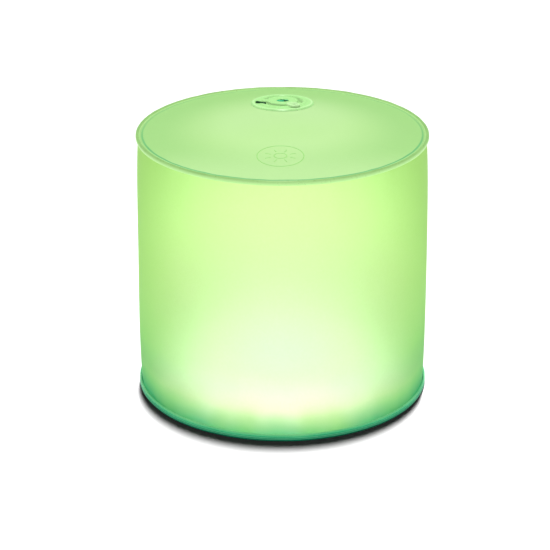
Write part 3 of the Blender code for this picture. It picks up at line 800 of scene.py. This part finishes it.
def valve_stopper(vinyl, edge, teal, painted_shadow_vinyl):
    """The hollow stopper with its ribs, finger tab and tether."""
    cap = lathe("plug_cap", rounded([
        (0, -0.6 * MM), (2.1 * MM, -0.55 * MM), (2.6 * MM, 1.2 * MM), (2.9 * MM, 1.46 * MM),
        (5.4 * MM, 1.42 * MM), (6.2 * MM, 1.55 * MM), (6.8 * MM, 1.35 * MM), (6.8 * MM, 1.1 * MM),
        (6.5 * MM, 0.9 * MM), (3.8 * MM, 0.9 * MM), (3.7 * MM, 0.2 * MM), (3.7 * MM, -0.6 * MM),
        (3.2 * MM, -2.2 * MM), (0, -2.2 * MM),
    ], 0.2 * MM), 96, matrix=VALVE)
    hinge = soft_plate("tether", outline_of(2.9 * MM, 3.4 * MM, 0.6 * MM, (-7.35 * MM, 0)),
                       0.95 * MM, 1.46 * MM, 0.12 * MM)
    turn = math.radians(-59)
    way = Vector((math.cos(turn), math.sin(turn)))
    tongue = soft_plate("tongue", outline_of(6.6 * MM, 5.2 * MM, 2.3 * MM,
                                             tuple(way * 9.2 * MM), turn, 8),
                        1.32 * MM, 1.86 * MM, 0.22 * MM)
    grips = []
    for k in range(3):
        at = way * (9.0 + 1.1 * k) * MM
        grips.append(soft_plate(f"grip_{k}", outline_of(0.4 * MM, (3.4 - 0.5 * k) * MM, 0.2 * MM,
                                                        tuple(at), turn),
                                1.7 * MM, 2.05 * MM, 0.1 * MM))
    rib = soft_plate("rib", outline_of(4.4 * MM, 1.3 * MM, 0.6 * MM, (0.5 * MM, -0.6 * MM),
                                       math.radians(20)), -0.8 * MM, 1.5 * MM, 0.2 * MM)
    cross = soft_plate("cross_rib", outline_of(4.2 * MM, 0.6 * MM, 0.28 * MM,
                                               (0.9 * MM, -0.9 * MM), math.radians(-28)),
                       -0.8 * MM, 1.62 * MM, 0.12 * MM)
    # The finger tab and grips take the painted highlight, the rib the thick vinyl's dim glow, and
    # the cross rib the dark painted shadow.
    shells = [(cap, 0), (hinge, 0), (tongue, 1), *((grip, 1) for grip in grips), (rib, 2),
              (cross, 3)]
    kinds = [kind for obj, kind in shells for _ in obj.data.polygons]
    plug = joined("stopper", *(obj for obj, _ in shells))
    fit(plug, [vinyl, edge, teal, painted_shadow_vinyl], "plug", ["valve_plug"])
    for polygon, kind in zip(plug.data.polygons, kinds):
        out, up = in_valve(polygon)
        # The cap's hollow takes painted shade.
        in_hollow = out < 2.75 * MM and -0.7 * MM < up < 0.6 * MM
        polygon.material_index = 2 if kind == 0 and in_hollow else kind


def valve_flap(vinyl):
    """The check flap under the stem's bore."""
    disc = lathe("flap_disc", rounded([
        (0, -6.9 * MM), (4.9 * MM, -6.9 * MM), (4.9 * MM, -7.3 * MM), (1.2 * MM, -7.3 * MM),
        (0.8 * MM, -7.45 * MM), (0, -7.45 * MM),
    ], 0.12 * MM), 64, matrix=VALVE)
    root = soft_plate("flap_root", outline_of(2.0 * MM, 3.0 * MM, 0.5 * MM, (-4.7 * MM, 0)),
                      -7.24 * MM, -6.96 * MM, 0.08 * MM)
    fit(joined("check_flap", disc, root), vinyl, "flap", ["valve_flap"])


def valve_parts():
    """The whole mouth valve."""
    # Painted glow on the valve's vinyl.
    vinyl = frosted("valve_vinyl_moulded", VALVE_GLOW, see=0.7, tint=(0.26, 0.52, 0.19), rough=0.3,
                    coat=0.06)
    # A painted highlight.
    edge = frosted("valve_vinyl_painted_highlight", PAINTED_EDGE_HIGHLIGHT, see=0.4, tint=(0.34, 0.62, 0.25), rough=0.25,
                   coat=0.12)
    # A dark green that stands for painted shadow.
    painted_shadow_vinyl = plastic("valve_shadowed_vinyl", (0.004, 0.07, 0.02), 0.3, Coat_Weight=0.3)
    # The thick rib's dim glow, which is also painted shade in the stopper's hollow.
    teal = frosted("valve_thick_vinyl_and_hollow_shade", THICK_AND_HOLLOW_SHADE_GLOW, see=0.3, tint=(0.06, 0.42, 0.2), rough=0.2,
                   coat=0.5)
    valve_mouth(vinyl, edge, painted_shadow_vinyl)
    valve_membrane(vinyl)
    valve_stem(vinyl)
    valve_stopper(vinyl, edge, teal, painted_shadow_vinyl)
    valve_flap(vinyl)


def rim_vinyl():
    """The base rim's thick teal vinyl, with painted glow that fades almost to nothing at the floor
    as painted shade, and painted highlights along its ribs' crests.
    """
    n = Nodes("rim_vinyl")
    where, *_, z = n.place()
    cloud = n.noise(where, 60.0, 2.0)
    height = n.math("ADD", z, n.math("MULTIPLY", n.math("SUBTRACT", cloud, 0.5), 0.9 * MM))
    # Painted glow up the rim, almost nothing at the floor as painted shade.
    light = n.ramp(n.span(height, 0.0, 3.6 * MM), BASE_RIM_GLOW)
    # Painted highlights: paler lines along the two rib crests.
    for crest, share in ((1.45 * MM, 0.35), (2.08 * MM, 0.55)):
        away = n.math("ABSOLUTE", n.math("SUBTRACT", z, crest))
        light = n.mix(n.span(away, 0.04 * MM, 0.16 * MM, share, 0.0), light, (0.2, 0.6, 0.32))
    grain = n.noise(where, 900.0, 3.0)
    n.set(
        Base_Color=(0.03, 0.26, 0.13), Roughness=n.span(grain, 0.3, 0.7, 0.2, 0.32),
        Specular_IOR_Level=0.15, Emission_Color=light, Emission_Strength=1.0,
        Normal=n.bump(grain, 0.1, 0.08 * MM),
    )
    n.material.cycles.emission_sampling = "NONE"
    return n.material


def window_film():
    """Clear film over the solar panel."""
    n = Nodes("clear_window_film")
    where, *_ = n.place()
    grain = n.noise(where, 700.0, 3.0)
    n.set(
        Base_Color=(0.86, 0.97, 0.9), Roughness=n.span(grain, 0.3, 0.7, 0.04, 0.12), IOR=1.35,
        Transmission_Weight=0.92, Specular_IOR_Level=0.4,
        Normal=n.bump(n.noise(where, 120.0, 2.0), 0.08, 0.4 * MM),
    )
    return n.material


def base_parts():
    """The ribbed weld rim that the lantern stands on, and the clear window inside it."""
    rim = lathe("base_rim", rounded([
        (BASE_R - 0.9 * MM, 3.4 * MM), (BASE_R - 0.45 * MM, 3.4 * MM),
        (BASE_R - 0.15 * MM, 3.0 * MM), (BASE_R - 0.1 * MM, 2.7 * MM),
        (BASE_R - 0.38 * MM, 2.45 * MM), (BASE_R - 0.1 * MM, 2.2 * MM),
        (BASE_R - 0.08 * MM, 1.95 * MM), (BASE_R - 0.38 * MM, 1.7 * MM),
        (BASE_R - 0.05 * MM, 1.45 * MM), (BASE_R - 0.1 * MM, 1.0 * MM),
        (BASE_R - 0.5 * MM, 0.35 * MM), (BASE_R - 1.3 * MM, 0.0), (BASE_R - 2.6 * MM, 0.0),
        (BASE_R - 3.2 * MM, 0.6 * MM), (BASE_R - 3.2 * MM, 1.0 * MM), (BASE_R - 0.9 * MM, 1.0 * MM),
    ], 0.2 * MM), 288)
    fit(rim, rim_vinyl(), "base", ["base_film"])

    edge = BASE_R - 3.25 * MM
    radii = [edge * i / 36 for i in range(37)]

    def wrinkle(angle, index):
        r = radii[min(index, 73 - index)]
        share = (r / edge) ** 2 * (1 - (r / edge) ** 8)
        lift = wave(angle + 20 * r, (7, 0.5, 0.2), (13, 0.35, 1.9), (29, 0.3, 3.3))
        return 0.0, lift * 0.1 * MM * share

    window = lathe("clear_window", [(r, 1.0 * MM) for r in radii]
                   + [(r, 0.62 * MM) for r in reversed(radii)], 180, wrinkle)
    fit(window, window_film(), "base")


def lit_foil():
    """Bright foil with painted light, strongest near the ring of diodes and rippled round it."""
    n = Nodes("lit_foil")
    where, x, y, _ = n.place()
    _, ripple = n.lobes(x, y)
    away = n.math("ABSOLUTE", n.math("SUBTRACT", n.radius(x, y), LED_RING_R))
    ring = n.span(away, 0.0, 14 * MM, 1.0, 0.25, smooth=True)
    power = n.math("MULTIPLY", ring, n.math("MULTIPLY_ADD", ripple, 0.35, 1.0))
    n.set(
        Base_Color=(0.85, 0.9, 0.85), Roughness=n.span(n.noise(where, 400.0), 0.3, 0.7, 0.2, 0.4),
        Metallic=0.6, Emission_Color=(0.93, 1.0, 0.86),
        Emission_Strength=n.math("MULTIPLY", power, 4.0),
    )
    n.material.cycles.emission_sampling = "NONE"
    return n.material


def lit_diode():
    """A diode's glowing face."""
    n = Nodes("lit_diode")
    where, *_ = n.place()
    n.set(
        Base_Color=(0.95, 0.95, 0.8), Roughness=0.3,
        Emission_Color=(1.0, 1.0, 0.92),
        Emission_Strength=n.span(n.noise(where, 900.0), 0.3, 0.7, 14.0, 18.0),
    )
    n.material.cycles.emission_sampling = "NONE"
    return n.material


def inner_film():
    """Clear film over the module, with painted glow in the diodes' lobes standing in for their
    light.
    """
    n = Nodes("clear_inner_film")
    where, x, y, _ = n.place()
    grain = n.noise(where, 500.0)
    turn, ripple = n.lobes(x, y)
    uneven = n.math("COSINE", n.math("MULTIPLY_ADD", turn, 27.0, 1.0))
    ripple = n.math("MULTIPLY_ADD", ripple, 0.6, n.math("MULTIPLY", uneven, 0.5))
    radius = n.math("MULTIPLY_ADD", ripple, 1.4 * MM, n.radius(x, y))
    light = n.ramp(n.span(radius, 0.0, MODULE_GLOW_R * MM),
                   [(at / MODULE_GLOW_R, colour) for at, colour in MODULE_GLOW])
    n.set(
        Base_Color=(0.75, 1.0, 0.8), Roughness=n.span(grain, 0.3, 0.7, 0.05, 0.12), IOR=1.4,
        Transmission_Weight=0.3, Emission_Color=light, Emission_Strength=1.0,
    )
    n.material.cycles.emission_sampling = "NONE"
    return n.material


def module_parts():
    """The glowing parts of the light module: foil, lid, diodes and the film over them. The foil's,
    lid's and film's glow is painted light.
    """
    nodes = frame["nodes"]
    foil = lit_foil()
    paint(nodes["reflector_sheet"], foil)
    paint(nodes["module_lid"], foil)
    diode = lit_diode()
    for i in range(1, LED_COUNT + 1):
        paint(nodes[f"led_{i:02d}"], diode)
    paint(nodes["module_film"], inner_film())


def solar_cells():
    """Dark blue cells with fine silver fingers along Y and two busbars along X."""
    n = Nodes("cell_silicon")
    where, x, y, _ = n.place()
    local = n.math("SUBTRACT", n.math("FRACT", n.math("DIVIDE", y, 5.7 * MM)), 0.5)
    bars = n.math("ABSOLUTE", n.math("SUBTRACT", n.math("ABSOLUTE", local), 0.22))
    bar = n.span(bars, 0.03, 0.045, 1.0, 0.0)
    stripe = n.math("FRACT", n.math("DIVIDE", x, 1.4 * MM))
    comb = n.math("ABSOLUTE", n.math("SUBTRACT", stripe, 0.5))
    finger = n.span(comb, 0.04, 0.07, 0.8, 0.0)
    silver = n.math("MAXIMUM", bar, finger)
    grain = n.noise(where, 260.0, 2.0)
    blue = n.mix(n.span(grain, 0.35, 0.65), (0.006, 0.011, 0.04), (0.012, 0.022, 0.075))
    n.set(
        Base_Color=n.mix(silver, blue, (0.62, 0.64, 0.66)), Metallic=silver,
        Roughness=n.span(grain, 0.3, 0.7, 0.18, 0.28),
        Normal=n.bump(silver, 0.3, 0.03 * MM),
    )
    return n.material


def board_surface():
    """Green solder mask over tracks, with bare pads."""
    n = Nodes("board_mask")
    where, *_ = n.place()
    cells = n.new("ShaderNodeTexVoronoi", feature="DISTANCE_TO_EDGE", distance="CHEBYCHEV")
    n.link(where, cells.inputs["Vector"])
    cells.inputs["Scale"].default_value = 190.0
    track = n.span(cells.outputs["Distance"], 0.05, 0.09, 1.0, 0.0)
    spots = n.new("ShaderNodeTexVoronoi")
    n.link(where, spots.inputs["Vector"])
    spots.inputs["Scale"].default_value = 240.0
    pad = n.span(spots.outputs["Distance"], 0.12, 0.16, 1.0, 0.0)
    green = n.mix(track, (0.012, 0.13, 0.045), (0.03, 0.24, 0.09))
    n.set(
        Base_Color=n.mix(pad, green, (0.75, 0.74, 0.7)), Metallic=pad,
        Roughness=n.span(n.noise(where, 800.0), 0.3, 0.7, 0.28, 0.4),
        Normal=n.bump(track, 0.25, 0.04 * MM),
    )
    return n.material


def pouch_foil():
    """Creased aluminium laminate."""
    n = Nodes("pouch_foil")
    where, *_ = n.place()
    fine, broad = n.noise(where, 420.0, 4.0, 0.6), n.noise(where, 90.0, 2.0)
    n.set(
        Base_Color=n.mix(n.span(broad, 0.3, 0.7), (0.62, 0.63, 0.66), (0.78, 0.79, 0.8)),
        Metallic=0.85, Roughness=n.span(fine, 0.3, 0.7, 0.25, 0.42),
        Normal=n.bump(fine, 0.35, 0.2 * MM),
    )
    return n.material


def foam_cells():
    """Dark open-cell foam."""
    n = Nodes("foam_cells")
    where, *_ = n.place()
    cells = n.new("ShaderNodeTexVoronoi")
    n.link(where, cells.inputs["Vector"])
    cells.inputs["Scale"].default_value = 1600.0
    hollow = cells.outputs["Distance"]
    # The pores are painted darker than their rims, as painted shade in the cells' hollows.
    n.set(
        Base_Color=n.mix(n.span(hollow, 0.1, 0.6), (0.04, 0.04, 0.045), (0.13, 0.13, 0.14)),
        Roughness=n.span(hollow, 0.0, 0.6, 0.98, 0.85), Normal=n.bump(hollow, 0.6, 0.3 * MM),
    )
    return n.material


def see_through(name, colour, roughness, share):
    """Clear resin, with share of the light passing through."""
    n = Nodes(name)
    where, *_ = n.place()
    grain = n.noise(where, 800.0, 3.0)
    n.set(
        Base_Color=colour, Roughness=n.span(grain, 0.3, 0.7, roughness, roughness + 0.06),
        IOR=1.45, Transmission_Weight=share,
    )
    return n.material


def push_button(name, node, x, body, rubber, symbol):
    """A dished rubber button with a raised symbol, built facing down."""
    shell = lathe(name + "_body", rounded([
        (0, 6.0 * MM), (1.4 * MM, 6.0 * MM), (1.4 * MM, 5.1 * MM), (4.4 * MM, 5.1 * MM),
        (4.4 * MM, 4.5 * MM), (3.6 * MM, 4.5 * MM), (3.6 * MM, 1.85 * MM), (3.2 * MM, 1.5 * MM),
        (2.6 * MM, 1.45 * MM), (2.2 * MM, 1.7 * MM), (0, 1.75 * MM),
    ], 0.22 * MM), 72, matrix=Matrix.Translation((x, BUTTON_Y, 0)))
    strokes = []
    for outline in symbol:
        placed = [(x + px * MM, BUTTON_Y + py * MM) for px, py in outline]
        strokes.append(slab(f"{name}_stroke_{len(strokes)}", placed, 1.52 * MM, 1.95 * MM,
                            0.06 * MM, 2))
    button = joined(name, shell, *strokes)
    fit(button, rubber, body, [node])


def arc_outline(radius, width, start, end, steps=24):
    """A flat arc band as (x, y) points in millimetres, angles in degrees."""
    angles = [math.radians(start + (end - start) * k / steps) for k in range(steps + 1)]

    def arc(r):
        return [(r * math.cos(a), r * math.sin(a)) for a in angles]

    return arc(radius + width / 2) + arc(radius - width / 2)[::-1]


def electronics():
    """Materials for the housings and everything sealed inside them, and the two push buttons."""
    nodes = frame["nodes"]
    white = plastic("tray_plastic", (0.84, 0.86, 0.85), 0.42, 1800.0, 0.08, 0.03)
    for node, material in (
        ("module_tray", white),
        ("circuit_board", board_surface()),
        ("controller_chip", plastic("chip_epoxy", (0.018, 0.018, 0.02), 0.55, 2600.0, 0.15)),
        ("battery", pouch_foil()),
        ("battery_pad", foam_cells()),
        ("battery_connector", plastic("connector_nylon", (0.86, 0.84, 0.78), 0.5, 1500.0)),
        ("solar_substrate", plastic("panel_board", (0.02, 0.024, 0.03), 0.4, 900.0, 0.1)),
        ("solar_cover", see_through("panel_resin", (0.9, 0.95, 1.0), 0.03, 0.95)),
    ):
        paint(nodes[node], material)
    silicon = solar_cells()
    for i in range(1, 11):
        paint(nodes[f"solar_cell_{i:02d}"], silicon)
    steel = plastic("screw_steel", (0.6, 0.6, 0.62), 0.3, 2400.0, 0.12, 0.1, metallic=1.0)
    for i in range(1, 5):
        paint(nodes[f"module_screw_{i}"], steel)
    lens = see_through("indicator_lens", (0.88, 0.95, 0.9), 0.08, 0.7)
    for i in range(1, 4):
        paint(nodes[f"level_lens_{i}"], lens)
    black = plastic("plunger_plastic", (0.03, 0.03, 0.032), 0.45, 1800.0)
    metal = plastic("switch_shell", (0.13, 0.13, 0.135), 0.35, 2000.0, 0.1, 0.12, metallic=0.7)
    for name in ("power", "level"):
        paint(nodes[f"{name}_plunger"], black)
        paint(nodes[f"{name}_switch"], metal)
    red = plastic("red_sleeve", (0.55, 0.02, 0.015), 0.35, 1200.0, 0.08, 0.1)
    dark = plastic("black_sleeve", (0.022, 0.022, 0.024), 0.38, 1200.0, 0.08)
    for kind in ("battery", "solar"):
        paint(nodes[f"{kind}_lead_positive"], red)
        paint(nodes[f"{kind}_lead_negative"], dark)
    rubber = plastic("button_rubber", (0.5, 0.53, 0.53), 0.62, 2600.0, 0.12, 0.05)
    push_button("power_key", "power_button", -BUTTON_X, "power_push", rubber, [
        arc_outline(1.25, 0.34, 125, 415),
        [(-0.17, 0.3), (0.17, 0.3), (0.17, 1.7), (-0.17, 1.7)],
    ])
    push_button("level_key", "level_button", BUTTON_X, "level_push", rubber, [
        [(-1.5, -0.9), (-0.8, -0.9), (-0.8, -0.1), (-1.5, -0.1)],
        [(-0.35, -0.9), (0.35, -0.9), (0.35, 0.5), (-0.35, 0.5)],
        [(0.8, -0.9), (1.5, -0.9), (1.5, 1.1), (0.8, 1.1)],
    ])


def pale_floor():
    """A flat disc with a soft sheen, staged as the floor."""
    edge = [(FLOOR_R * math.cos(math.tau * k / 96), FLOOR_R * math.sin(math.tau * k / 96), 0.0)
            for k in range(96)]
    floor = mesh_object("floor", edge, [tuple(range(96))], smooth=False)
    n = Nodes("pale_floor")
    where, *_ = n.place()
    n.set(
        Base_Color=(0.97, 0.97, 0.97), Specular_IOR_Level=0.2,
        Roughness=n.span(n.noise(where, 30.0), 0.3, 0.7, 0.55, 0.65),
    )
    paint(floor, n.material)
    return floor


def backdrop():
    """White to the camera, and dim to everything that it lights."""
    world = bpy.data.worlds.new("studio")
    bpy.context.scene.world = world
    world.use_nodes = True
    tree = world.node_tree
    back = tree.nodes["Background"]
    path = tree.nodes.new("ShaderNodeLightPath")
    strength = tree.nodes.new("ShaderNodeMapRange")
    tree.links.new(path.outputs["Is Camera Ray"], strength.inputs["Value"])
    strength.inputs["To Min"].default_value = 0.012
    strength.inputs["To Max"].default_value = 1.2
    tree.links.new(strength.outputs["Result"], back.inputs["Strength"])
    back.inputs["Color"].default_value = (1, 1, 1, 1)


def soft_lamp(name, at, target, size, power):
    """An oval lamp that faces its target."""
    data = bpy.data.lights.new(name, "AREA")
    data.shape = "ELLIPSE"
    data.size, data.size_y = size
    data.energy = power
    obj = bpy.data.objects.new(name, data)
    obj.location = at
    obj.rotation_euler = (Vector(target) - Vector(at)).to_track_quat("-Z", "Y").to_euler()
    bpy.context.scene.collection.objects.link(obj)


def photo_camera():
    """The camera that was fitted to the photo's outline."""
    data = bpy.data.cameras.new("camera")
    data.sensor_width = 36.0
    data.lens = FOCAL_PX / PHOTO_PX * data.sensor_width
    data.shift_x, data.shift_y = -0.01346, -0.01745
    data.clip_start = 0.01
    eye = bpy.data.objects.new("camera", data)
    eye.location = (0.0, -0.83993, 0.40157)
    eye.rotation_euler = (math.radians(90 - 22.48), 0, 0)
    bpy.context.scene.collection.objects.link(eye)
    bpy.context.scene.camera = eye


def studio():
    """Floor, backdrop, lamps, camera and a plain view transform."""
    floor = pale_floor()
    backdrop()
    # The key lamp is far off, so that the drum's shadow is no wider than the drum.
    soft_lamp("key", (0.16, 1.74, 24.0), (0, 0, 0), (0.25, 2.2), 8100)
    soft_lamp("fill_left", (-1.3, -1.1, 0.9), (0, 0, 0.05), (0.9, 0.9), 0.5)
    # A piece's painted glow stays off the floor and its neighbours.
    for obj in bpy.data.objects:
        if obj.type == "MESH" and obj is not floor:
            obj.visible_diffuse = False
    photo_camera()
    view = bpy.context.scene.view_settings
    view.view_transform = "Standard"
    view.look = "None"


side_wall()
top_film()
top_mark()
valve_parts()
base_parts()
module_parts()
electronics()
studio()
